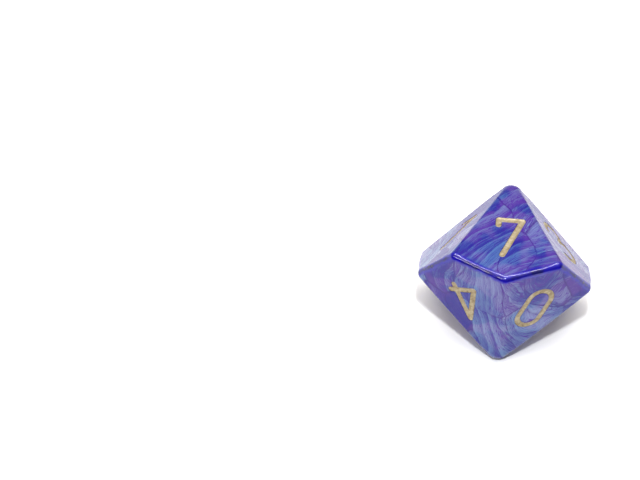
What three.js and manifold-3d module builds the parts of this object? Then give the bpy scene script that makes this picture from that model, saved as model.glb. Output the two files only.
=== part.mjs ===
// A ten-sided die: a pentagonal trapezohedron cast in one piece of swirled plastic, with a numeral
// engraved in each kite-shaped face and paint lying in every engraved stroke.
//
// Millimetres, +Z up. The die stands on its face 2 with face 7 level on top. The origin is on the
// table under the die's centre, and the pole that face 7 shares points towards +Y and up.
import * as THREE from "three";
import { mergeVertices } from "three/addons/utils/BufferGeometryUtils.js";
import Module from "manifold-3d";

const wasm = await Module();
wasm.setup();

// Driving dimensions.
const ACROSS_FACES = 16; // from a face to the opposite one
const EDGE_ROUND = 0.6; // radius of the rounding along an edge
const GIRDLE_ROUND = 0.9; // radius at a corner where three faces meet
const POLE_ROUND = 1.6; // radius at a pole, where five faces meet
const ROUND_SPREAD = 2.6; // along an edge, from a corner's rounding until the edge has its own
const STROKE = 0.78; // width of an engraved stroke
const ENGRAVING = 0.45; // depth of an engraved stroke
const PAINT_RECESS = 0.1; // from the face down to the top of the paint
const PAINT_GAP = 0.02; // between the paint and the walls and floor of its stroke
const NUMERAL_HALF_WIDTH = 1.6; // to the middle of the stroke, as are the heights
const NUMERAL_HEIGHT = 6;
// How far below the middle of its face each numeral from 0 to 9 stands, away from the pole.
const NUMERAL_DROPS = [4.4, 4.2, 4.6, 4.5, 4.2, 4.3, 4.65, 4.55, 4.7, 4.65];
const UNDERLINE_DROP = 1.85; // from a numeral's foot to the bar that tells 6 from 9
const UNDERLINE_HALF_LENGTH = 0.7;

// Fineness of the mesh.
const SIDE_STEPS = 8; // along each side of a kite
const ROUND_STEPS = 3; // from a flat face to the middle of its edge's rounding
const ARC_STEP = Math.PI / 8; // along a curved stroke
const BEND_STEP = Math.PI / 5; // round a stroke's end or the outside of a sharp bend
const WELD = 1e-4; // corners of triangles that are closer than this are one

// The ten faces: five round each pole, the lower ring half a step on from the upper one. The tilt
// makes the faces of the two rings meet at right angles, and opposite numerals add up to nine.
const PER_POLE = 5;
const STEP = Math.PI / PER_POLE;
const TILT = Math.atan(Math.sqrt(1 / Math.cos(STEP))); // between a face's normal and the pole
const UPPER_NUMERALS = [7, 3, 5, 9, 1];
const LOWER_NUMERALS = [0, 8, 2, 6, 4];
const INRADIUS = ACROSS_FACES / 2;
const POLE_HEIGHT = INRADIUS / Math.cos(TILT);
const GIRDLE_RISE = (POLE_HEIGHT * (1 - Math.cos(STEP))) / (1 + Math.cos(STEP));
const GIRDLE_RADIUS = (POLE_HEIGHT + GIRDLE_RISE) / Math.tan(TILT);

// A corner of the girdle, which zigzags: odd corners are high and even ones low.
function girdleCorner(index) {
  const angle = index * STEP;
  const height = index % 2 === 0 ? -GIRDLE_RISE : GIRDLE_RISE;
  return new THREE.Vector3(
    GIRDLE_RADIUS * Math.cos(angle),
    GIRDLE_RADIUS * Math.sin(angle),
    height,
  );
}

// One face: its numeral, its normal, the middle that its numeral is set out from, its up direction
// towards its own pole, and its corners anticlockwise from that pole.
function makeFace(index) {
  const side = index % 2 === 0 ? 1 : -1;
  const angle = index * STEP;
  const pole = new THREE.Vector3(0, 0, side * POLE_HEIGHT);
  const normal = new THREE.Vector3(
    Math.sin(TILT) * Math.cos(angle),
    Math.sin(TILT) * Math.sin(angle),
    side * Math.cos(TILT),
  );
  const middle = normal.clone().multiplyScalar(INRADIUS);
  const numerals = side > 0 ? UPPER_NUMERALS : LOWER_NUMERALS;
  return {
    numeral: numerals[Math.floor(index / 2)],
    normal,
    middle,
    up: pole.clone().sub(middle).normalize(),
    corners: [
      { point: pole, round: POLE_ROUND },
      ...[-side, 0, side].map((turn) => ({
        point: girdleCorner(index + turn),
        round: GIRDLE_ROUND,
      })),
    ],
    neighbours: [-2, -1, 1, 2].map((turn) => (index + turn * side + 2 * PER_POLE) % (2 * PER_POLE)),
  };
}

const faces = Array.from({ length: 2 * PER_POLE }, (_, index) => makeFace(index));

// How much of a corner's extra rounding an edge has at a distance from it, and how fast that changes.
function cornerShare(distance) {
  return distance < ROUND_SPREAD ? (1 + Math.cos((Math.PI * distance) / ROUND_SPREAD)) / 2 : 0;
}

function cornerShareSlope(distance) {
  const phase = (Math.PI * distance) / ROUND_SPREAD;
  return distance < ROUND_SPREAD ? (-Math.sin(phase) * Math.PI) / (2 * ROUND_SPREAD) : 0;
}

function blend(a, b, share) {
  return a.clone().lerp(b, share).setLength(a.length());
}

// Half the rounding of one edge of a face, in rows from the face's flat part to the middle of the
// rounding. It is the skin of a ball that rolls along the edge, inside it and touching both faces, and
// that grows towards the corners.
function edgeRows(face, edge) {
  const from = face.corners[edge];
  const to = face.corners[(edge + 1) % face.corners.length];
  const other = faces[face.neighbours[edge]].normal;
  const along = to.point.clone().sub(from.point).normalize();
  const outward = face.normal.clone().add(other).divideScalar(1 + face.normal.dot(other));
  const ballStart = Math.abs(from.point.dot(along)) * (from.round / INRADIUS);
  const ballEnd = Math.abs(to.point.dot(along)) * (to.round / INRADIUS);
  const run = to.point.distanceTo(from.point) - ballStart - ballEnd;
  return Array.from({ length: SIDE_STEPS + 1 }, (_, step) => {
    const gone = (run * (1 - Math.cos((Math.PI * step) / SIDE_STEPS))) / 2;
    const fromExtra = from.round - EDGE_ROUND;
    const toExtra = to.round - EDGE_ROUND;
    const radius =
      EDGE_ROUND + fromExtra * cornerShare(gone) + toExtra * cornerShare(run - gone);
    const growth = fromExtra * cornerShareSlope(gone) - toExtra * cornerShareSlope(run - gone);
    const centre = from.point
      .clone()
      .addScaledVector(along, ballStart + gone)
      .addScaledVector(outward, -radius);
    const way = along.clone().addScaledVector(outward, -growth);
    const lag = way.clone().multiplyScalar(growth / way.lengthSq());
    const own = face.normal.clone().add(lag);
    const ridge = blend(own, own.clone().add(other).add(lag), 1);
    return Array.from({ length: ROUND_STEPS + 1 }, (_, ring) => {
      const radial = blend(own, ridge, ring / ROUND_STEPS).sub(lag);
      return centre.clone().addScaledVector(radial, radius);
    });
  });
}

// A face's share of the ball in one of its corners, as rows of points.
function cornerRows(face, corner) {
  const { point, round } = face.corners[corner];
  const centre = point.clone().multiplyScalar(1 - round / INRADIUS);
  const count = face.corners.length;
  const [before, after] = [(corner + count - 1) % count, corner].map((edge) =>
    faces[face.neighbours[edge]].normal.clone().add(face.normal).normalize(),
  );
  const tip = point.clone().normalize();
  return Array.from({ length: ROUND_STEPS + 1 }, (_, row) =>
    Array.from({ length: ROUND_STEPS + 1 }, (_, ring) => {
      const across = row / ROUND_STEPS;
      const out = ring / ROUND_STEPS;
      const radial = face.normal
        .clone()
        .lerp(before, out)
        .lerp(after.clone().lerp(tip, out), across)
        .normalize();
      return centre.clone().addScaledVector(radial, round);
    }),
  );
}

function skinGeometry() {
  const positions = [];
  const triangle = (...corners) => corners.forEach((c) => positions.push(c.x, c.y, c.z));
  const net = (rows) => {
    for (let row = 0; row + 1 < rows.length; row += 1) {
      for (let ring = 0; ring < ROUND_STEPS; ring += 1) {
        triangle(rows[row][ring], rows[row][ring + 1], rows[row + 1][ring + 1]);
        triangle(rows[row][ring], rows[row + 1][ring + 1], rows[row + 1][ring]);
      }
    }
  };
  for (const face of faces) {
    face.corners.forEach((_, index) => {
      const rows = edgeRows(face, index);
      for (let row = 0; row + 1 < rows.length; row += 1) {
        triangle(face.middle, rows[row][0], rows[row + 1][0]);
      }
      net(rows);
      net(cornerRows(face, index));
    });
  }
  const geometry = new THREE.BufferGeometry();
  geometry.setAttribute("position", new THREE.Float32BufferAttribute(positions, 3));
  return geometry;
}

// Numerals, each a list of strokes, set out from the middle of the numeral's foot. Where one stroke
// ends inside another, it ends a little off the other's middle line, so that their sides cross.
const W = NUMERAL_HALF_WIDTH;
const H = NUMERAL_HEIGHT;

function point(x, y) {
  return new THREE.Vector2(x, y);
}

// Points round a circle, from one direction to another in degrees, anticlockwise if growing.
function arc(x, y, radius, from, to) {
  const start = THREE.MathUtils.degToRad(from);
  const end = THREE.MathUtils.degToRad(to);
  const steps = Math.ceil(Math.abs(end - start) / ARC_STEP);
  return new THREE.EllipseCurve(x, y, radius, radius, start, end, end < start).getPoints(steps);
}

function open(...points) {
  return { points: points.flat(), closed: false };
}

function ring(...points) {
  return { points: points.flat(), closed: true };
}

function circle(x, y, radius) {
  return ring(arc(x, y, radius, 0, 360).slice(1));
}

function zero() {
  return [ring(arc(0, H - W, W, 0, 180), arc(0, W, W, 180, 360))];
}

function one() {
  const stem = 0.4;
  const flag = 1.4; // how far it reaches to the left and down
  return [open(point(stem - flag, H - flag), point(stem, H), point(stem, 0))];
}

function two() {
  const start = 160;
  const end = -40; // where the bowl runs straight on, down to the foot
  return [open(arc(0, H - W, W, start, end), point(-W, 0), point(W, 0))];
}

function three() {
  const upper = 1.45;
  const lower = 1.6; // the bowls' heights together are a little over H
  const mouth = 160;
  return [open(arc(0, H - upper, upper, mouth, -90)), open(arc(0, lower, lower, 90, -mouth))];
}

function four() {
  const top = 5.5;
  const stem = 1.05;
  const slant = 0.3; // from the stem's top to its foot, to the right
  const left = -1.35;
  const right = 2.15;
  const bar = 0.85;
  const inset = 0.12;
  return [
    open(point(right, bar), point(left, bar), point(stem - inset, top - 2 * inset)),
    open(point(stem, top), point(stem + slant, 0)),
  ];
}

function five() {
  const left = -1.4;
  const radius = 1.8;
  const shoulder = 115; // where the straight start of the bowl runs into its arc
  const mouth = -160;
  const stemFoot = 3.2;
  return [
    open(
      point(-left, H),
      point(left, H),
      point(left, stemFoot),
      arc(left + 1.3, radius, radius, shoulder, mouth),
    ),
  ];
}

function six() {
  const hookEnd = 15;
  const inset = 0.05;
  return [open(arc(0, H - W, W, hookEnd, 180), point(-W, W)), circle(inset, W, W)];
}

function seven() {
  const left = -1.35;
  const right = 1.65;
  const hook = 0.95;
  const foot = -0.6;
  return [open(point(left, H - hook), point(left, H), point(right, H), point(foot, 0))];
}

function eight() {
  const upper = 1.45;
  const lower = 1.6; // the rings' heights together are a little over H
  return [circle(0, H - upper, upper), circle(0, lower, lower)];
}

// A six turned half round.
function nine() {
  return six().map((stroke) => ({
    points: stroke.points.map((p) => point(-p.x, H - p.y)),
    closed: stroke.closed,
  }));
}

function underline() {
  const y = -UNDERLINE_DROP;
  return [open(point(-UNDERLINE_HALF_LENGTH, y), point(UNDERLINE_HALF_LENGTH, y))];
}

const numeralStrokes = [zero, one, two, three, four, five, six, seven, eight, nine];

// Turning right back, by pi give or take a rounding error, counts as a bend to the right.
const FULL_BEND = Math.PI + 0.1;

// The line at a distance to the left of a loop of points. It goes round the outside of a sharp bend in
// an arc, and elsewhere its own sides meet.
function besideLoop(loop, distance) {
  return loop.flatMap((here, index) => {
    const before = loop[(index + loop.length - 1) % loop.length];
    const after = loop[(index + 1) % loop.length];
    const arriving = here.clone().sub(before).angle();
    const leaving = after.clone().sub(here).angle();
    const turn =
      THREE.MathUtils.euclideanModulo(leaving - arriving + FULL_BEND, 2 * Math.PI) - FULL_BEND;
    const toSide = (angle, reach) => {
      const side = arriving + Math.PI / 2 + angle;
      return point(here.x + reach * Math.cos(side), here.y + reach * Math.sin(side));
    };
    if (turn > -BEND_STEP) return [toSide(turn / 2, distance / Math.cos(turn / 2))];
    const steps = Math.ceil(-turn / BEND_STEP);
    return Array.from({ length: steps + 1 }, (_, step) => toSide((turn * step) / steps, distance));
  });
}

// The flat outline of a stroke. An open stroke is a loop that goes there and back.
function strokeShape({ points, closed }, halfWidth) {
  if (!closed) {
    return new THREE.Shape(besideLoop([...points, ...points.slice(1, -1).reverse()], halfWidth));
  }
  const shape = new THREE.Shape(besideLoop([...points].reverse(), halfWidth));
  shape.holes.push(new THREE.Path(besideLoop(points, halfWidth)));
  return shape;
}

// A three.js geometry as a manifold-3d solid, and back.
function solidOf(geometry) {
  const bare = geometry.index ? geometry.toNonIndexed() : geometry.clone();
  bare.deleteAttribute("normal");
  bare.deleteAttribute("uv");
  const merged = mergeVertices(bare, WELD);
  return new wasm.Manifold(
    new wasm.Mesh({
      numProp: 3,
      vertProperties: merged.attributes.position.array,
      triVerts: new Uint32Array(merged.index.array),
    }),
  );
}

function geometryOf(solid) {
  const mesh = solid.getMesh();
  const geometry = new THREE.BufferGeometry();
  geometry.setAttribute("position", new THREE.BufferAttribute(mesh.vertProperties, 3));
  geometry.setIndex(new THREE.BufferAttribute(mesh.triVerts, 1));
  geometry.computeVertexNormals();
  return geometry;
}

// Strokes joined into one solid, from one height above the face's plane to another. They are joined
// while they lie level, so that their tops and their floors are exactly in line.
function strokesOnFace(face, strokes, halfWidth, bottom, top) {
  const joined = strokes
    .map((stroke) => {
      const settings = { depth: top - bottom, bevelEnabled: false };
      return solidOf(new THREE.ExtrudeGeometry(strokeShape(stroke, halfWidth), settings));
    })
    .reduce((sum, solid) => sum.add(solid));
  const right = face.up.clone().cross(face.normal);
  const place = new THREE.Matrix4().makeBasis(right, face.up, face.normal);
  place.setPosition(face.middle);
  const foot = -NUMERAL_DROPS[face.numeral];
  return solidOf(geometryOf(joined).translate(0, foot, bottom).applyMatrix4(place));
}

function engraving(face, strokes) {
  return strokesOnFace(face, strokes, STROKE / 2, -ENGRAVING, ENGRAVING);
}

function paint(face, strokes) {
  const halfWidth = STROKE / 2 - PAINT_GAP;
  return strokesOnFace(face, strokes, halfWidth, PAINT_GAP - ENGRAVING, -PAINT_RECESS);
}

const plastic = new THREE.MeshStandardMaterial({
  name: "swirled_plastic",
  color: 0x4a46b0,
  roughness: 0.12,
  metalness: 0,
});
const goldPaint = new THREE.MeshStandardMaterial({
  name: "gold_paint",
  color: 0xc9ab72,
  roughness: 0.5,
  metalness: 0.4,
});

function named(name, solid, material) {
  const mesh = new THREE.Mesh(geometryOf(solid), material);
  mesh.name = name;
  return mesh;
}

// The die is built with its poles on the Z axis and then laid down on its face 2.
const die = new THREE.Group();
die.quaternion.setFromRotationMatrix(
  new THREE.Matrix4().makeBasis(
    new THREE.Vector3(0, -Math.cos(TILT), Math.sin(TILT)),
    new THREE.Vector3(1, 0, 0),
    new THREE.Vector3(0, Math.sin(TILT), Math.cos(TILT)),
  ),
);
die.position.z = INRADIUS;

let body = solidOf(skinGeometry());
for (const face of faces) {
  const strokes = numeralStrokes[face.numeral]();
  body = body.subtract(engraving(face, strokes));
  die.add(named(`paint_numeral_${face.numeral}`, paint(face, strokes), goldPaint));
  if (face.numeral === 6 || face.numeral === 9) {
    body = body.subtract(engraving(face, underline()));
    die.add(named(`paint_underline_${face.numeral}`, paint(face, underline()), goldPaint));
  }
}
die.add(named("die_body", body, plastic));

const root = new THREE.Group();
root.add(die);

export default root;
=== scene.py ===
# The looks of a ten-sided die: its swirled plastic body and the gold paint in its engraved numerals,
# as fine meshes of the same shape as the CAD model, with a floor, soft light and a camera.
import math

import bpy
import numpy as np
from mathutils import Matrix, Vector
from mathutils.geometry import delaunay_2d_cdt


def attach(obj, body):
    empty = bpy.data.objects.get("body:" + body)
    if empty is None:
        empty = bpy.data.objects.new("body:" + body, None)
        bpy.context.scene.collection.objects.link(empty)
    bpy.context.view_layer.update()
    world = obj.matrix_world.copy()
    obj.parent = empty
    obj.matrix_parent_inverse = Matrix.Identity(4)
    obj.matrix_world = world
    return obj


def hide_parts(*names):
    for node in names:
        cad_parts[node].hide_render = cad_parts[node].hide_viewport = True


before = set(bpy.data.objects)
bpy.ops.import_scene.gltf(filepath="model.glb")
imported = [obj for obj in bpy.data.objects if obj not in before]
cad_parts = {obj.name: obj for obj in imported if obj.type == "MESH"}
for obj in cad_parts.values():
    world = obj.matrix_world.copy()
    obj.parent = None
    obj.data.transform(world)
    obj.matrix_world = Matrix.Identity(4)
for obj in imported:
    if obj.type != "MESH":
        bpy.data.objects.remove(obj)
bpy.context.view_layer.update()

MM = 0.001

# ---------------------------------------------------------------------------------------------------
# Driving dimensions, in millimetres, as in the CAD model
# ---------------------------------------------------------------------------------------------------
INRADIUS = 8.0
EDGE_ROUND = 0.6
GIRDLE_ROUND = 0.9
POLE_ROUND = 1.6
ROUND_SPREAD = 2.6
STROKE = 0.78
ENGRAVING = 0.45
NUMERAL_HALF_WIDTH = 1.6
NUMERAL_HEIGHT = 6.0
NUMERAL_DROPS = [4.4, 4.2, 4.6, 4.5, 4.2, 4.3, 4.65, 4.55, 4.7, 4.65]
UNDERLINE_DROP = 1.85
UNDERLINE_HALF_LENGTH = 0.7
UPPER_NUMERALS = [7, 3, 5, 9, 1]
LOWER_NUMERALS = [0, 8, 2, 6, 4]

# The rounded rim of the engraving, and the paint in it.
RIM_ROUND = 0.04
WALL_DRAFT = 0.02
PAINT_GAP = 0.02
PAINT_LEVEL = -0.03  # at the walls of a stroke
PAINT_DISH = 0.1  # how much lower the paint is in the middle of a stroke
PAINT_LUMPS = 0.012

# Fineness of the meshes.
SIDE_STEPS = 36
ROUND_STEPS = 8
CONTOUR_STEP = 0.08
FIELD_STEP = 0.06
PAINT_STEP = 0.1
ARC_DEGREES = 4
RIM_DEGREES = [0, 22, 45, 68, 90]
WELD = 1e-4  # points that round to the same multiple of this become one
NUDGE = 1e-4  # for the slope of a distance
PAINT_NUDGE = 0.01  # for the slope of the paint

SWIRL_START = (17.0, 31.0, 71.0)
TO_GIRDLE = "to_girdle"

HALF_STROKE = STROKE / 2
STEP = math.pi / 5
TILT = math.atan(math.sqrt(1 / math.cos(STEP)))
POLE_HEIGHT = INRADIUS / math.cos(TILT)
GIRDLE_RISE = POLE_HEIGHT * (1 - math.cos(STEP)) / (1 + math.cos(STEP))
GIRDLE_RADIUS = (POLE_HEIGHT + GIRDLE_RISE) / math.tan(TILT)

# The die's own axes, with its poles on the third, as it lies on its face 2.
AXES = np.array(
    [
        [0, -math.cos(TILT), math.sin(TILT)],
        [1, 0, 0],
        [0, math.sin(TILT), math.cos(TILT)],
    ]
)
CENTRE = np.array([0, 0, INRADIUS])


def girdle_corner(index):
    height = -GIRDLE_RISE if index % 2 == 0 else GIRDLE_RISE
    angle = index * STEP
    return np.array([GIRDLE_RADIUS * math.cos(angle), GIRDLE_RADIUS * math.sin(angle), height])


class Face:
    """One kite: its numeral, normal, middle, right and up directions, and its corners from its pole."""

    def __init__(self, index):
        side = 1 if index % 2 == 0 else -1
        angle = index * STEP
        pole = np.array([0, 0, side * POLE_HEIGHT])
        self.numeral = (UPPER_NUMERALS if side > 0 else LOWER_NUMERALS)[index // 2]
        self.normal = np.array(
            [
                math.sin(TILT) * math.cos(angle),
                math.sin(TILT) * math.sin(angle),
                side * math.cos(TILT),
            ]
        )
        self.middle = self.normal * INRADIUS
        up = pole - self.middle
        self.up = up / np.linalg.norm(up)
        self.right = np.cross(self.up, self.normal)
        self.corners = [pole] + [girdle_corner(index + turn * side) for turn in (-1, 0, 1)]
        self.rounds = [POLE_ROUND] + 3 * [GIRDLE_ROUND]
        self.beside = [(index + turn * side) % 10 for turn in (-2, -1, 1, 2)]

    def flat(self, points):
        """Points in space as right and up distances on the face."""
        away = points - self.middle
        return np.stack([away @ self.right, away @ self.up], axis=-1)

    def lift(self, flat, height):
        """Places on the face, and heights over it, as points in space."""
        return (
            self.middle
            + flat[:, :1] * self.right
            + flat[:, 1:] * self.up
            + np.asarray(height).reshape(-1, 1) * self.normal
        )


FACES = [Face(index) for index in range(10)]


def unit(vectors):
    return vectors / np.linalg.norm(vectors, axis=-1, keepdims=True)


def blend(a, b, share):
    """Directions between two of the same length, at that length."""
    return unit(a + (b - a) * share) * np.linalg.norm(a, axis=-1, keepdims=True)


def corner_share(distance):
    """How much of a corner's extra rounding an edge has at a distance from it."""
    return np.where(distance < ROUND_SPREAD, (1 + np.cos(np.pi * distance / ROUND_SPREAD)) / 2, 0)


def corner_share_slope(distance):
    slope = -np.sin(np.pi * distance / ROUND_SPREAD) * np.pi / (2 * ROUND_SPREAD)
    return np.where(distance < ROUND_SPREAD, slope, 0)


def edge_rows(face, edge):
    """Half the rounding of an edge: points and normals, from the flat part to the ridge.

    It is the skin of a ball that rolls along the edge, inside it and touching both faces, and that
    grows towards the corners.
    """
    ahead = (edge + 1) % 4
    start, end = face.corners[edge], face.corners[ahead]
    other = FACES[face.beside[edge]].normal
    along = unit(end - start)
    outward = (face.normal + other) / (1 + face.normal @ other)
    ball_start = abs(start @ along) * face.rounds[edge] / INRADIUS
    ball_end = abs(end @ along) * face.rounds[ahead] / INRADIUS
    run = np.linalg.norm(end - start) - ball_start - ball_end
    gone = run * (1 - np.cos(np.pi * np.arange(SIDE_STEPS + 1) / SIDE_STEPS))[:, None] / 2
    start_extra = face.rounds[edge] - EDGE_ROUND
    end_extra = face.rounds[ahead] - EDGE_ROUND
    radius = EDGE_ROUND + start_extra * corner_share(gone) + end_extra * corner_share(run - gone)
    growth = start_extra * corner_share_slope(gone) - end_extra * corner_share_slope(run - gone)
    centre = start + along * (ball_start + gone) - outward * radius
    way = along - outward * growth
    lag = way * growth / (way**2).sum(axis=1, keepdims=True)
    own = face.normal + lag
    ridge = blend(own, own + other + lag, 1)
    radial = [blend(own, ridge, ring / ROUND_STEPS) - lag for ring in range(ROUND_STEPS + 1)]
    radial = np.stack(radial, axis=1)
    return centre[:, None] + radial * radius[:, None], radial


def corner_rows(face, corner):
    """A face's share of the ball in one of its corners: points and normals."""
    centre = face.corners[corner] * (1 - face.rounds[corner] / INRADIUS)
    before = unit(FACES[face.beside[corner - 1]].normal + face.normal)
    after = unit(FACES[face.beside[corner]].normal + face.normal)
    tip = unit(face.corners[corner])
    share = np.linspace(0, 1, ROUND_STEPS + 1)[:, None]
    first = face.normal + (before - face.normal) * share
    last = after + (tip - after) * share
    radial = unit(first[None] + (last - first)[None] * share[:, None])
    return centre + radial * face.rounds[corner], radial


# ---------------------------------------------------------------------------------------------------
# Numerals: middle lines of strokes, set out from the middle of the numeral's foot
# ---------------------------------------------------------------------------------------------------
W = NUMERAL_HALF_WIDTH
H = NUMERAL_HEIGHT


def arc(x, y, radius, start, end):
    steps = math.ceil(abs(end - start) / ARC_DEGREES)
    angles = np.radians(np.linspace(start, end, steps + 1))
    return [(x + radius * math.cos(a), y + radius * math.sin(a)) for a in angles]


def zero():
    return [arc(0, H - W, W, 0, 180) + arc(0, W, W, 180, 360) + [(W, H - W)]]


def one():
    stem, flag = 0.4, 1.4
    return [[(stem - flag, H - flag), (stem, H), (stem, 0)]]


def two():
    return [arc(0, H - W, W, 160, -40) + [(-W, 0), (W, 0)]]


def three():
    upper, lower, mouth = 1.45, 1.6, 160
    return [arc(0, H - upper, upper, mouth, -90), arc(0, lower, lower, 90, -mouth)]


def four():
    top, stem, slant, left, right, bar, inset = 5.5, 1.05, 0.3, -1.35, 2.15, 0.85, 0.12
    return [
        [(right, bar), (left, bar), (stem - inset, top - 2 * inset)],
        [(stem, top), (stem + slant, 0)],
    ]


def five():
    left, radius, shoulder, mouth, stem_foot = -1.4, 1.8, 115, -160, 3.2
    bowl = arc(left + 1.3, radius, radius, shoulder, mouth)
    return [[(-left, H), (left, H), (left, stem_foot)] + bowl]


def six():
    return [arc(0, H - W, W, 15, 180) + arc(0, W, W, 180, 540)]


def seven():
    left, right, hook, foot = -1.35, 1.65, 0.95, -0.6
    return [[(left, H - hook), (left, H), (right, H), (foot, 0)]]


def eight():
    upper, lower = 1.45, 1.6
    return [arc(0, H - upper, upper, 0, 360), arc(0, lower, lower, 0, 360)]


def nine():
    return [[(-x, H - y) for x, y in stroke] for stroke in six()]


def underline():
    return [[(-UNDERLINE_HALF_LENGTH, -UNDERLINE_DROP), (UNDERLINE_HALF_LENGTH, -UNDERLINE_DROP)]]


NUMERALS = [zero, one, two, three, four, five, six, seven, eight, nine]


class Strokes:
    """The strokes of a numeral or an underline as they lie on a face."""

    def __init__(self, strokes, drop):
        starts, ends = [], []
        for stroke in strokes:
            line = np.array(stroke) - (0, drop)
            starts.append(line[:-1])
            ends.append(line[1:])
        self.start = np.concatenate(starts)
        self.along = np.concatenate(ends) - self.start
        reach = HALF_STROKE + 4 * RIM_ROUND
        corners = np.concatenate([self.start, np.concatenate(ends)])
        self.low = corners.min(axis=0) - reach
        self.high = corners.max(axis=0) + reach

    def distance(self, points):
        """From each point to the nearest middle line."""
        away = points[:, None] - self.start[None]
        length2 = (self.along**2).sum(axis=1)
        share = np.clip((away * self.along).sum(axis=2) / np.maximum(length2, 1e-12), 0, 1)
        return np.linalg.norm(away - share[..., None] * self.along, axis=2).min(axis=1)

    def gradient(self, points):
        slope = [
            self.distance(points + NUDGE * axis) - self.distance(points - NUDGE * axis)
            for axis in np.eye(2)
        ]
        gradient = np.stack(slope, axis=1)
        return gradient / np.maximum(np.linalg.norm(gradient, axis=1, keepdims=True), 1e-9)

    def grid(self, step):
        x = np.arange(self.low[0], self.high[0] + step, step)
        y = np.arange(self.low[1], self.high[1] + step, step)
        return x, y, np.stack(np.meshgrid(x, y), axis=-1)

    def contours(self, level):
        """Loops of evenly spaced points at a distance from the middle lines."""
        x, y, places = self.grid(FIELD_STEP)
        over = (self.distance(places.reshape(-1, 2)) - level).reshape(places.shape[:2])
        loops = []
        for loop in trace(over, x, y):
            loop = even(loop, CONTOUR_STEP)
            for _ in range(3):
                gradient = self.gradient(loop)
                loop = loop - gradient * (self.distance(loop) - level)[:, None]
            loops.append(loop)
        return loops


def trace(over, x, y):
    """The loops where a field on a grid is zero, by marching squares."""
    crossings = {}
    links = {}

    def crossing(row, column, down):
        key = (row, column, down)
        if key not in crossings:
            a = over[row, column]
            b = over[row + down, column + 1 - down]
            share = a / (a - b)
            crossings[key] = (
                x[column] + (0 if down else share * (x[1] - x[0])),
                y[row] + (share * (y[1] - y[0]) if down else 0),
            )
        return key

    inside = over < 0
    mixed = np.zeros(tuple(n - 1 for n in over.shape), bool)
    for rows, columns in ((0, 1), (1, 0), (1, 1)):
        part = inside[rows : rows + mixed.shape[0], columns : columns + mixed.shape[1]]
        mixed |= part != inside[:-1, :-1]
    for row, column in np.argwhere(mixed):
        edges = []
        if inside[row, column] != inside[row, column + 1]:
            edges.append(crossing(row, column, 0))
        if inside[row, column + 1] != inside[row + 1, column + 1]:
            edges.append(crossing(row, column + 1, 1))
        if inside[row + 1, column] != inside[row + 1, column + 1]:
            edges.append(crossing(row + 1, column, 0))
        if inside[row, column] != inside[row + 1, column]:
            edges.append(crossing(row, column, 1))
        for a, b in zip(edges[::2], edges[1::2]):
            links.setdefault(a, []).append(b)
            links.setdefault(b, []).append(a)
    loops = []
    unused = dict.fromkeys(links)
    while unused:
        start = next(iter(unused))
        chain, previous, here = [], None, start
        while here in unused:
            del unused[here]
            chain.append(crossings[here])
            ahead = [key for key in links[here] if key != previous]
            previous, here = here, ahead[0]
        loops.append(np.array(chain))
    return loops


def even(loop, step):
    """A loop with its points spaced evenly."""
    closed = np.vstack([loop, loop[:1]])
    lengths = np.linalg.norm(np.diff(closed, axis=0), axis=1)
    run = np.concatenate([[0], np.cumsum(lengths)])
    count = max(8, round(run[-1] / step))
    at = np.arange(count) * run[-1] / count
    return np.stack([np.interp(at, run, closed[:, k]) for k in range(2)], axis=1)


# ---------------------------------------------------------------------------------------------------
# Meshes
# ---------------------------------------------------------------------------------------------------
def to_girdle(points):
    """How far points are from the sharp girdle that the rounding takes away."""
    corners = np.array([girdle_corner(index) for index in range(10)])
    along = np.roll(corners, -1, axis=0) - corners
    away = points[:, None] - corners
    share = np.clip((away * along).sum(axis=2) / (along**2).sum(axis=1), 0, 1)
    return np.linalg.norm(away - share[..., None] * along, axis=2).min(axis=1)


class Shell:
    """Collects points with their normals, and triangles, of one piece."""

    def __init__(self):
        self.points, self.normals, self.triangles, self.count = [], [], [], 0

    def add(self, points, normals):
        first = self.count
        self.points.append(np.asarray(points, float))
        self.normals.append(np.broadcast_to(normals, np.shape(points)).astype(float))
        self.count += len(points)
        return first

    def piece(self, name):
        points = np.concatenate(self.points)
        girdle = to_girdle(points)
        points = (points @ AXES + CENTRE) * MM
        normals = np.concatenate(self.normals) @ AXES
        keys = np.round(points / (MM * WELD)).astype(np.int64)
        _, first, where = np.unique(keys, axis=0, return_index=True, return_inverse=True)
        where = where.reshape(-1)
        triangles = [tuple(int(where[i]) for i in t) for t in self.triangles]
        triangles = [t for t in triangles if len(set(t)) == 3]
        mesh = bpy.data.meshes.new(name)
        mesh.from_pydata(points[first].tolist(), [], triangles)
        mesh.update()
        mesh.shade_smooth()
        mesh.normals_split_custom_set_from_vertices(normals[first].tolist())
        mesh.attributes.new(TO_GIRDLE, "FLOAT", "POINT").data.foreach_set("value", girdle[first])
        piece = bpy.data.objects.new(name, mesh)
        bpy.context.scene.collection.objects.link(piece)
        return piece


def fill(loops, extra=()):
    """Triangles over the area inside the first loop, along all the loops, with extra points inside."""
    points, edges = [], []
    for loop in loops:
        first = len(points)
        points += [Vector(p) for p in loop]
        edges += [(first + i, first + (i + 1) % len(loop)) for i in range(len(loop))]
    points += [Vector(p) for p in extra]
    inside_only, tolerance = 1, 1e-6
    made, _, triangles, _, _, _ = delaunay_2d_cdt(points, edges, [], inside_only, tolerance)
    return np.array([tuple(p) for p in made]), triangles


def rim_profile():
    """Distances from a stroke's middle line, with heights and leans, from the face down into it."""
    profile = []
    for angle in np.radians(RIM_DEGREES):
        distance = HALF_STROKE + RIM_ROUND * (1 - math.sin(angle))
        profile.append((distance, -RIM_ROUND * (1 - math.cos(angle)), angle))
    profile.append((HALF_STROKE - WALL_DRAFT, -ENGRAVING, math.pi / 2))
    return profile


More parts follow.
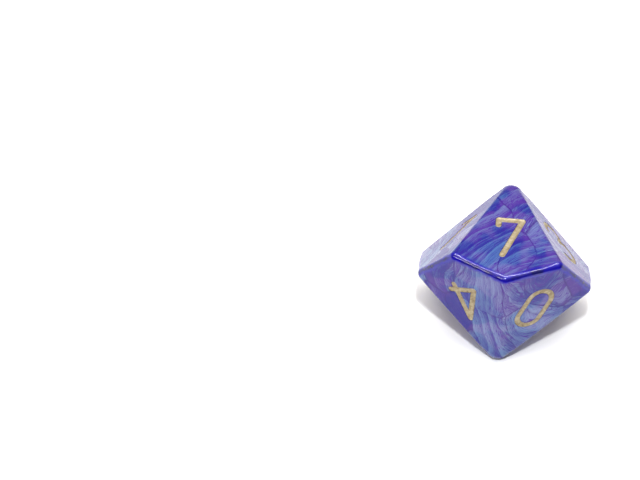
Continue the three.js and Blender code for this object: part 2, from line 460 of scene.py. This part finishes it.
def add_net(shell, points, normals):
    """Rows of points as a net of triangles."""
    rows, columns = points.shape[:2]
    first = shell.add(points.reshape(-1, 3), normals.reshape(-1, 3))
    for row in range(rows - 1):
        for column in range(columns - 1):
            a = first + row * columns + column
            b = a + columns
            shell.triangles.append((a, a + 1, b + 1))
            shell.triangles.append((a, b + 1, b))


def add_face(shell, face, marks):
    outline = []
    for index in range(4):
        points, normals = edge_rows(face, index)
        add_net(shell, points, normals)
        add_net(shell, *corner_rows(face, index))
        outline.append(points[:-1, 0])

    profile = rim_profile()
    loops = [face.flat(np.concatenate(outline))]
    for mark in marks:
        for distance, _, _ in profile:
            loops += mark.contours(distance)
    places, triangles = fill(loops)
    distance = np.min([mark.distance(places) for mark in marks], axis=0)
    nearest = np.argmin([mark.distance(places) for mark in marks], axis=0)
    levels = [p[0] for p in profile][::-1]
    height = np.interp(distance, levels, [p[1] for p in profile][::-1])
    lean = np.interp(distance, levels, [p[2] for p in profile][::-1])
    slope = np.zeros_like(places)
    for index, mark in enumerate(marks):
        mine = nearest == index
        if mine.any():
            slope[mine] = mark.gradient(places[mine])
    down = slope[:, :1] * face.right + slope[:, 1:] * face.up
    normals = np.cos(lean)[:, None] * face.normal - np.sin(lean)[:, None] * down
    first = shell.add(face.lift(places, height), normals)
    shell.triangles += [tuple(first + i for i in t) for t in triangles]


def marks_of(numeral):
    drop = NUMERAL_DROPS[numeral]
    marks = {f"paint_numeral_{numeral}": Strokes(NUMERALS[numeral](), drop)}
    if numeral in (6, 9):
        marks[f"paint_underline_{numeral}"] = Strokes(underline(), drop)
    return marks


def make_body():
    shell = Shell()
    for face in FACES:
        add_face(shell, face, list(marks_of(face.numeral).values()))
    return shell.piece("body_skin")


def lumps(places, seed):
    """A soft unevenness of the paint, mostly from -1 to 1."""
    draws = np.random.default_rng(seed)
    waves = 12
    height = np.zeros(len(places))
    for _ in range(waves):
        direction = draws.uniform(-1, 1, 2)
        direction *= draws.uniform(3, 9) / np.linalg.norm(direction)
        height += np.sin(places @ direction + draws.uniform(0, 2 * math.pi))
    return 2 * height / waves


def make_paint(name, face, mark, seed):
    reach = HALF_STROKE - WALL_DRAFT - PAINT_GAP

    def height(places):
        share = np.clip(mark.distance(places) / reach, 0, 1)
        return PAINT_LEVEL - PAINT_DISH * (1 - share**3) + PAINT_LUMPS * lumps(places, seed)

    # The paint's top: its outline, one more loop close inside it, and unevenly spread points.
    _, _, grid = mark.grid(PAINT_STEP)
    grid = grid.reshape(-1, 2)
    grid = grid + np.random.default_rng(seed).uniform(-0.2, 0.2, grid.shape) * PAINT_STEP
    inner = grid[mark.distance(grid) < reach - PAINT_STEP]
    (left, bottom), (right, top) = mark.low, mark.high
    around = [(left, bottom), (right, bottom), (right, top), (left, top)]
    loops = [around] + mark.contours(reach) + mark.contours(reach - PAINT_STEP / 2)
    places, triangles = fill(loops, inner)
    middles = np.array([places[list(t)].mean(axis=0) for t in triangles])
    triangles = [t for t, distance in zip(triangles, mark.distance(middles)) if distance < reach]

    slopes = [
        (height(places + PAINT_NUDGE * axis) - height(places - PAINT_NUDGE * axis)) / (2 * PAINT_NUDGE)
        for axis in np.eye(2)
    ]
    normals = unit(face.normal - slopes[0][:, None] * face.right - slopes[1][:, None] * face.up)
    shell = Shell()
    first = shell.add(face.lift(places, height(places)), normals)
    under = shell.add(face.lift(places, np.full(len(places), PAINT_GAP - ENGRAVING)), -face.normal)
    sides = set()
    for t in triangles:
        shell.triangles.append(tuple(first + i for i in t))
        shell.triangles.append(tuple(under + i for i in t[::-1]))
        sides |= {(t[i], t[(i + 1) % 3]) for i in range(3)}
    for a, b in sides:
        if (b, a) not in sides:
            shell.triangles.append((first + b, first + a, under + a))
            shell.triangles.append((first + b, under + a, under + b))
    return shell.piece(name.replace("paint", "gold"))


# ---------------------------------------------------------------------------------------------------
# Materials
# ---------------------------------------------------------------------------------------------------
class Graph:
    """A short way to write shader nodes."""

    def __init__(self, owner):
        owner.use_nodes = True
        self.nodes = owner.node_tree.nodes
        self.links = owner.node_tree.links

    def node(self, kind, inputs=(), **settings):
        node = self.nodes.new("ShaderNode" + kind)
        for key, value in settings.items():
            setattr(node, key, value)
        for socket, value in dict(inputs).items():
            self.put(node.inputs[socket], value)
        return node

    def put(self, socket, value):
        if isinstance(value, bpy.types.NodeSocket):
            self.links.new(value, socket)
        else:
            socket.default_value = value

    def math(self, operation, a, b=0.0):
        return self.node("Math", {0: a, 1: b}, operation=operation).outputs[0]

    def total(self, *terms):
        """The sum of terms, each a value or a value with its weight."""
        result = 0.0
        for value, weight in terms:
            inputs = {0: value, 1: weight, 2: result}
            result = self.node("Math", inputs, operation="MULTIPLY_ADD").outputs[0]
        return result

    def vector(self, operation, a, b):
        node = self.node("VectorMath", {0: a, 1: b}, operation=operation)
        return node.outputs["Value" if operation == "DOT_PRODUCT" else "Vector"]

    def centred(self, a):
        """A colour's three values, about zero instead of about a half."""
        return self.vector("SUBTRACT", a, (0.5, 0.5, 0.5))

    def scaled(self, a, scale):
        return self.node("VectorMath", {0: a, "Scale": scale}, operation="SCALE").outputs[0]

    def noise(self, at, scale, detail=2.0, roughness=0.5):
        inputs = {"Vector": at, "Scale": scale, "Detail": detail, "Roughness": roughness}
        return self.node("TexNoise", inputs).outputs["Fac"]

    def bent(self, at, scale, reach):
        """Places moved about by a soft noise."""
        noise = self.node("TexNoise", {"Vector": at, "Scale": scale, "Detail": 1.0})
        return self.vector("ADD", at, self.scaled(self.centred(noise.outputs["Color"]), reach))

    def band(self, value, low, high, to_low=0.0, to_high=1.0):
        """Smoothly from one value to another as the input goes from low to high."""
        inputs = {0: value, 1: low, 2: high, 3: to_low, 4: to_high}
        return self.node("MapRange", inputs, interpolation_type="SMOOTHSTEP").outputs[0]

    def mix(self, share, a, b):
        node = self.node("Mix", data_type="RGBA")
        colours = [socket for socket in node.inputs if socket.type == "RGBA"]
        self.put(node.inputs["Factor"], share)
        self.put(colours[0], a)
        self.put(colours[1], b)
        return [socket for socket in node.outputs if socket.type == "RGBA"][0]

    def ramp(self, value, stops):
        node = self.node("ValToRGB", {0: value})
        elements = node.color_ramp.elements
        while len(elements) < len(stops):
            elements.new(0.5)
        for element, (place, stop_colour) in zip(elements, stops):
            element.position = place
            element.color = stop_colour
        return node.outputs["Color"]

    def bump(self, height, strength, distance):
        inputs = {"Height": height, "Strength": strength, "Distance": distance}
        return self.node("Bump", inputs).outputs["Normal"]

    def millimetres(self):
        """The piece's own coordinates, in millimetres."""
        return self.scaled(self.node("TexCoord").outputs["Object"], 1 / MM)

    def surface(self, **sockets):
        shader = self.nodes["Principled BSDF"]
        for name, value in sockets.items():
            self.put(shader.inputs[name.replace("_", " ")], value)


def colour(red, green, blue):
    """A colour given as screen values from 0 to 255, as the linear values that shaders take."""
    shares = [value / 255 for value in (red, green, blue)]
    linear = [((v + 0.055) / 1.055) ** 2.4 if v > 0.04 else v / 12.92 for v in shares]
    return (*linear, 1.0)


INK = colour(4, 1, 72)
ULTRAMARINE = colour(28, 20, 124)
COBALT = colour(14, 2, 146)
PURPLE = colour(62, 14, 132)
VIOLET = colour(66, 34, 130)
STEEL = colour(60, 102, 156)
PALE = colour(94, 110, 160)


# The swirl, in millimetres. A warp has a fineness and a reach.
WIDE_WARP = (0.075, 10.0)
CLOSE_WARP = (0.2, 1.6)
HUE_WARP = (0.2, 5.0)
PATCH_FINENESS = 0.2
CELL_FINENESS = 0.17
CELL_STRETCH = (1.0, 0.6, 0.42)  # the smaller, the longer the cells are that way
GRAIN = (0.7, -0.55, 0.2)
GRAIN_TURN = 0.7
FIBRES_PER_LAYER = 11.0
FIBRE_BEND = 26.0
HAIR_WIDTH = 0.03

# The clear coat, stronger at the girdle for its bright lines, and where the deep colour there ends: a
# cobalt band that is partly painted reflection of the dark room in front, with a core that is painted
# dark reflection only.
COAT_ON_FACES = 0.4
COAT_ON_GIRDLE = 0.84
BAND_EDGE = (0.45, 0.95)
PAINTED_DARK_CORE_EDGE = (0.15, 0.55)


def swirled_plastic():
    """Folds of pearly plastic: warped cells, each with its own tone and with a grain of its own."""
    material = bpy.data.materials.new("swirled_plastic")
    g = Graph(material)
    p = g.vector("ADD", g.millimetres(), SWIRL_START)
    q = g.bent(g.bent(p, *WIDE_WARP), *CLOSE_WARP)

    # Long cells with a thin dark seam between them, which fades in and out.
    cell = {"Vector": g.vector("MULTIPLY", q, CELL_STRETCH), "Scale": CELL_FINENESS}
    shade = g.node("TexVoronoi", cell, feature="F1").outputs["Color"]
    to_seam = g.node("TexVoronoi", cell, feature="DISTANCE_TO_EDGE").outputs["Distance"]
    patches = g.noise(p, PATCH_FINENESS)
    seam_line = g.band(to_seam, 0.0, 0.02, 1.0, 0.0)
    seam = g.math("MULTIPLY", seam_line, g.band(patches, 0.36, 0.6, 0.15, 1.0))

    # Layers along the grain of each cell, which turns a little from one cell to the next.
    turned = g.scaled(g.centred(shade), GRAIN_TURN)
    level = g.vector("DOT_PRODUCT", q, g.vector("ADD", turned, GRAIN))
    layer = g.math("FLOOR", level)
    within = g.math("FRACT", level)
    tone = g.node("TexWhiteNoise", {"W": layer}, noise_dimensions="1D").outputs["Value"]
    fold = g.band(within, 0.0, 0.11, 1.0, 0.0)
    lit_side = g.band(within, 0.0, 0.8, 1.0, 0.0)

    # Fine pearly fibres run along the layers and bend towards the seams.
    crossing = g.total((level, FIBRES_PER_LAYER), (to_seam, FIBRE_BEND))
    across = g.node("CombineXYZ", {0: crossing}).outputs[0]
    fibres = g.noise(g.vector("ADD", across, g.scaled(q, 0.5)), 2.0, 4.0, 0.72)

    # Hair-thin purple lines between the strands.
    strands = g.noise(g.vector("ADD", g.scaled(across, 0.3), g.scaled(q, 0.35)), 1.1, 1.0)
    from_hair = g.math("ABSOLUTE", g.math("SUBTRACT", strands, 0.5))
    hair = g.band(from_hair, 0.0, HAIR_WIDTH, 1.0, 0.0)

    # How much pearl shows.
    red = g.node("SeparateXYZ", {0: shade}).outputs[0]
    pearl = g.total(
        (red, 0.5),
        (tone, 0.36),
        (patches, 0.6),
        (lit_side, 0.2),
        (fibres, 1.5),
        (seam, -0.3),
        (fold, -0.2),
        (hair, -0.35),
        (1.0, -1.19),
    )

    # The pearl lies along the faces, so the rounded girdle shows the deep colour under it. The cobalt
    # band there is also painted reflection of the dark room in front, and its near-black core is
    # painted dark reflection only.
    distance = g.node("Attribute", attribute_name=TO_GIRDLE).outputs["Fac"]
    ragged = g.total((distance, 1.0), (g.noise(p, 1.1), 0.7), (1.0, -0.35))
    girdle = g.band(ragged, *BAND_EDGE, 1.0, 0.0)
    painted_dark_core = g.band(ragged, *PAINTED_DARK_CORE_EDGE, 1.0, 0.0)

    hue = g.noise(g.bent(p, *HUE_WARP), PATCH_FINENESS)
    deep = g.mix(g.band(hue, 0.46, 0.56), ULTRAMARINE, VIOLET)
    pale = g.mix(g.band(hue, 0.4, 0.6), STEEL, PALE)
    base = g.mix(g.band(pearl, 0.1, 0.9), deep, pale)
    base = g.mix(g.math("MULTIPLY", hair, 0.55), base, PURPLE)
    base = g.mix(g.total((seam, 0.32), (fold, 0.25)), base, INK)
    # Painted reflection of the dark room in front: a cobalt band along the girdle that is partly the
    # plastic's deep colour, then a near-black painted dark core.
    base = g.mix(girdle, base, COBALT)
    base = g.mix(painted_dark_core, base, INK)

    off_girdle = g.total((girdle, -1.0), (1.0, 1.0))
    g.surface(
        Base_Color=base,
        Metallic=0.1,
        Roughness=g.band(fibres, 0.3, 0.7, 0.42, 0.3),
        Normal=g.bump(fibres, 0.2, 0.0001),
        IOR=1.5,
        Specular_IOR_Level=g.math("MULTIPLY", g.band(pearl, 0.1, 0.9, 0.05, 0.45), off_girdle),
        Coat_Weight=g.total((girdle, COAT_ON_GIRDLE - COAT_ON_FACES), (1.0, COAT_ON_FACES)),
        Coat_Roughness=0.06,
        Coat_IOR=1.65,
    )
    return material


def gold_paint():
    material = bpy.data.materials.new("gold_paint")
    g = Graph(material)
    p = g.millimetres()
    blotches = g.noise(p, 1.8, 3.0, 0.6)
    grain = g.noise(p, 10.0, 2.0, 0.6)
    grain_share = 0.35
    mixed = g.total((blotches, 1.0), (grain, grain_share), (1.0, -grain_share / 2))
    base = g.ramp(
        mixed,
        [
            (0.25, colour(108, 89, 63)),
            (0.42, colour(144, 128, 98)),
            (0.58, colour(160, 147, 118)),
            (0.75, colour(182, 170, 148)),
        ],
    )
    g.surface(
        Base_Color=base,
        Metallic=0.3,
        Roughness=g.band(mixed, 0.3, 0.7, 0.6, 0.42),
        Normal=g.bump(mixed, 0.5, 0.00005),
    )
    return material


# ---------------------------------------------------------------------------------------------------
# Pieces
# ---------------------------------------------------------------------------------------------------
def dress(piece, material, node):
    piece.data.materials.append(material)
    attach(piece, "root")
    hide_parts(node)


dress(make_body(), swirled_plastic(), "die_body")
gold = gold_paint()
for face in FACES:
    for name, mark in marks_of(face.numeral).items():
        dress(make_paint(name, face, mark, face.numeral), gold, name)

# ---------------------------------------------------------------------------------------------------
# Stage, light and camera
# ---------------------------------------------------------------------------------------------------
FLOOR_HALF = 0.6
FLOOR_DROP = 0.00002  # so that it isn't in the plane of the resting face
floor_mesh = bpy.data.meshes.new("floor")
around = ((-1, -1), (1, -1), (1, 1), (-1, 1))
floor_corners = [(x * FLOOR_HALF, y * FLOOR_HALF, -FLOOR_DROP) for x, y in around]
floor_mesh.from_pydata(floor_corners, [], [(0, 1, 2, 3)])
floor = bpy.data.objects.new("floor", floor_mesh)
bpy.context.scene.collection.objects.link(floor)
white_paper = bpy.data.materials.new("white_paper")
Graph(white_paper).surface(Base_Color=(0.9, 0.9, 0.9, 1), Roughness=0.9)
floor_mesh.materials.append(white_paper)


def toward(turn, elevation):
    """The direction at an angle to the right of the front, and at an elevation."""
    turn, elevation = math.radians(turn), math.radians(elevation)
    outward = math.cos(elevation)
    return Vector((math.sin(turn) * outward, -math.cos(turn) * outward, math.sin(elevation)))


def lamp(name, direction, distance, width, height, brightness, tint):
    """A lamp that faces the die, of a brightness in its own surface."""
    light = bpy.data.lights.new(name, "AREA")
    light.shape = "RECTANGLE"
    light.size = width
    light.size_y = height
    light.energy = brightness * math.pi * width * height
    light.color = tint
    holder = bpy.data.objects.new(name, light)
    holder.location = direction * distance
    holder.rotation_euler = direction.to_track_quat("Z", "Y").to_euler()
    bpy.context.scene.collection.objects.link(holder)


FLASH_DISTANCE = 0.25
FLASH_SIZE = 0.015
STRIP_DISTANCE = 0.6
COOL = (0.96, 0.98, 1.0)
WARM = (1.0, 0.98, 0.95)
lamp("flash", toward(0, 65), FLASH_DISTANCE, FLASH_SIZE, FLASH_SIZE, 570, COOL)
lamp("overhead_strip", toward(180, 81), STRIP_DISTANCE, 0.66, 0.02, 60, WARM)
lamp("left_strip", toward(-50, 42), STRIP_DISTANCE, 0.2, 0.015, 62, WARM)

# The room is pale and brightest overhead, with a dark side in front, where the camera stands.
ROOM = 0.45
DARK = 0.14
OVERHEAD = 1.15  # added straight above
ROOM_TINT = (1.0, 0.96, 0.9, 1.0)
world = bpy.data.worlds.new("room")
bpy.context.scene.world = world
g = Graph(world)
direction = g.node("TexCoord").outputs["Generated"]
forward = g.vector("DOT_PRODUCT", direction, (0, -1, 0))
upward = g.vector("DOT_PRODUCT", direction, (0, 0, 1))
front_and_low = g.math("MULTIPLY", g.band(forward, -0.15, 0.2), g.band(upward, 0.5, 0.72, 1.0, 0.0))
above = g.band(upward, 0.76, 0.92)
strength = g.total((front_and_low, DARK - ROOM), (above, OVERHEAD), (1.0, ROOM))
background = g.nodes["Background"]
g.put(background.inputs["Strength"], strength)
g.put(background.inputs["Color"], ROOM_TINT)
bpy.context.scene.view_settings.view_transform = "Standard"

# The camera looks down at 46.7 degrees, at a spot beside the die.
LENS_PIXELS = 1876.2
IMAGE_WIDTH = 640
CAMERA_AT = (-3.7, -163.8, 186.1)
CAMERA_AIM = (-25.1, 10.1, 0.0)
camera_data = bpy.data.cameras.new("camera")
camera_data.sensor_width = 36
camera_data.lens = LENS_PIXELS / IMAGE_WIDTH * camera_data.sensor_width
camera_data.clip_start = 0.01
camera = bpy.data.objects.new("camera", camera_data)
camera.location = Vector(CAMERA_AT) * MM
camera.rotation_euler = (Vector(CAMERA_AIM) - Vector(CAMERA_AT)).to_track_quat("-Z", "Y").to_euler()
bpy.context.scene.collection.objects.link(camera)
bpy.context.scene.camera = camera
